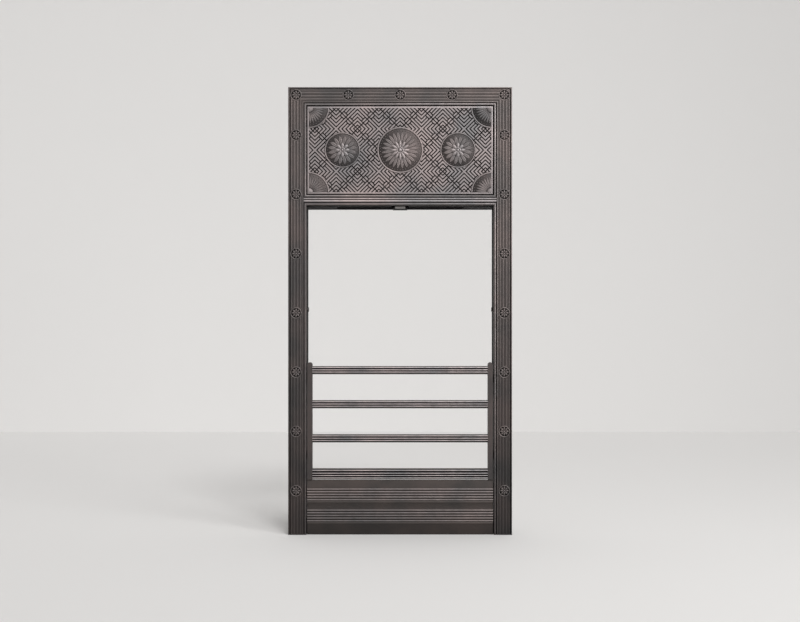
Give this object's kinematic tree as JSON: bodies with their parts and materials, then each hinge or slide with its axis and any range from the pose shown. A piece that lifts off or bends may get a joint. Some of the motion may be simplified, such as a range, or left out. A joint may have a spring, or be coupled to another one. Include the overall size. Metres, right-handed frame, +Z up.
{
  "type": "register grate front",
  "caption": "Small cast iron fireplace front: reeded frame, relief hood panel, hinged register flap, lift-off reeded bars and a loose ashpit cover.",
  "frame": {"origin": "on the hearth, in the middle of the width, on the plane where the frame's back edge meets the wall", "axes": "+X to the right seen from the room, +Y into the chimney, +Z up"},
  "size_m": [0.457, 0.108, 0.914],
  "materials": {
    "blacked_cast_iron": "black-leaded, bead tops burnished",
    "plain_cast_iron": "as cast, dull and sooty",
    "wrought_tongue": "rubbed bright by use",
    "black_fixings": "blackened"
  },
  "bodies": {
    "front": {"front_frame": "blacked_cast_iron", "hood_panel": "blacked_cast_iron", "panel_screws": "black_fixings", "cheek_left": "plain_cast_iron", "cheek_right": "plain_cast_iron", "cheek_bolts": "black_fixings", "cheek_nuts": "black_fixings", "bar_studs": "black_fixings", "register_plate": "plain_cast_iron", "register_screws": "black_fixings"},
    "register_flap": {"register_flap": "plain_cast_iron", "lift_tongue": "wrought_tongue", "tongue_rivet": "black_fixings"},
    "front_bars": {"bar_rail_left": "blacked_cast_iron", "bar_rail_right": "blacked_cast_iron", "front_bar_1": "blacked_cast_iron", "front_bar_2": "blacked_cast_iron", "front_bar_3": "blacked_cast_iron", "front_bar_4": "blacked_cast_iron"},
    "ashpit_cover": {"ashpit_cover": "blacked_cast_iron"}
  },
  "joints": [
    {"name": "flap_hinge", "type": "hinge", "parent": "front", "child": "register_flap", "pos_m": [0, 0.076, 0.686], "axis": [-1, 0, 0], "range_deg": [0, 100]},
    {"name": "bars_lift", "type": "slide", "parent": "front", "child": "front_bars", "axis": [0, 0, 1], "range_m": [0, 0.06]},
    {"name": "cover_pull", "type": "slide", "parent": "front", "child": "ashpit_cover", "axis": [0, -1, 0], "range_m": [0, 0.08]}
  ]
}
